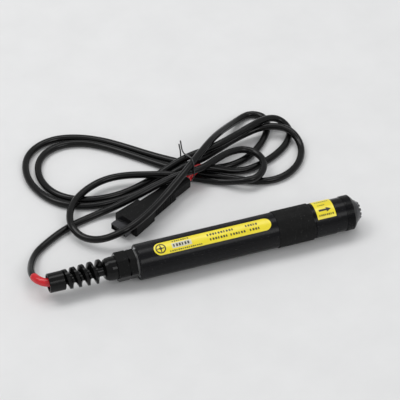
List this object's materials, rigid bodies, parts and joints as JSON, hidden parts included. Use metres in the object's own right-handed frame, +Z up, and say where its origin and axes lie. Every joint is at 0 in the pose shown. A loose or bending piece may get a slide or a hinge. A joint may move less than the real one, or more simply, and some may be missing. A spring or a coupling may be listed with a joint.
{
  "type": "hand-held laser probe",
  "caption": "Hand-held laser probe: black metal tube with a screw-on front collar, a spiral cable gland, a bundled cable and a flat instrument plug.",
  "frame": {"origin": "on the surface the probe lies on, under the middle of the rigid probe", "axes": "+X along the tube towards the light aperture, +Z up"},
  "size_m": [0.2389, 0.172, 0.0264],
  "materials": {
    "anodised": "satin black anodise",
    "bare_aluminium": "machined",
    "grip": "matte black",
    "seal_rubber": "matte",
    "cap_metal": "dark polished",
    "optic": "clear",
    "insulator": "matte white",
    "insulator_black": "matte black",
    "brass": "turned",
    "bright_metal": "bright",
    "board": "green solder mask",
    "ferrite": "matte",
    "chip": "matte black",
    "trimmer": "matte blue",
    "wire_red": "glossy red",
    "label": "yellow film",
    "washer": "grey fibre",
    "nylon": "glossy black",
    "cable": "glossy black",
    "cover_red": "glossy red shrink",
    "tie": "black coated wire",
    "plug_plastic": "fine matte black",
    "nose_metal": "dull nickel"
  },
  "bodies": {
    "probe": {"barrel_tube": "anodised", "end_plug": "bare_aluminium", "grip_sleeve": "grip", "front_head": "anodised", "head_seal": "seal_rubber", "module_bush": "insulator", "laser_module": "brass", "laser_diode": "bright_metal", "lens_cell": "brass", "collimating_lens": "optic", "lens_spring": "bright_metal", "liner_tube": "insulator", "driver_board": "board", "board_bracket": "bare_aluminium", "board_screws": "bright_metal", "cable_header": "insulator", "storage_capacitor": "bare_aluminium", "power_inductor": "ferrite", "power_regulator": "chip", "pulse_chip": "chip", "power_trimmer": "trimmer", "chip_parts": "chip", "supply_wires": "wire_red", "diode_wires": "wire_red", "main_label": "label", "aperture_label": "label", "gland_washer": "washer", "gland_body": "nylon", "gland_seal": "seal_rubber", "cable_in_gland": "cable", "supply_cable": "cable", "red_cover_rear": "cover_red", "red_cover_plug": "cover_red", "bundle_tie": "tie", "plug_shell_upper": "plug_plastic", "plug_shell_lower": "plug_plastic", "plug_nose": "nose_metal", "plug_insert": "insulator_black", "plug_contacts": "brass", "plug_clamp": "bare_aluminium", "cable_in_plug": "cable", "plug_cores": "wire_red"},
    "aperture": {"aperture_cap": "cap_metal", "window": "optic", "window_seal": "seal_rubber"},
    "collar": {"retaining_collar": "anodised"},
    "claw": {"gland_claw": "nylon"},
    "dome_nut": {"dome_nut": "nylon"}
  },
  "joints": [
    {"name": "nose_slide", "type": "slide", "parent": "probe", "child": "aperture", "axis": [1, 0, 0], "range_m": [0, 0.0046]},
    {"name": "collar_turn", "type": "hinge", "parent": "aperture", "child": "collar", "pos_m": [0.105, 0, 0.0132], "axis": [1, 0, 0], "range_deg": [0, 1080]},
    {"name": "claw_slide", "type": "slide", "parent": "probe", "child": "claw", "axis": [-1, 0, 0], "range_m": [0, 0.0016]},
    {"name": "nut_turn", "type": "hinge", "parent": "claw", "child": "dome_nut", "pos_m": [-0.064, 0, 0.0132], "axis": [-1, 0, 0], "range_deg": [0, 360]}
  ],
  "couplings": [
    {"joint": "nose_slide", "follows": "collar_turn", "m_per_rad": 0.00023873},
    {"joint": "claw_slide", "follows": "nut_turn", "m_per_rad": 0.00023873}
  ]
}
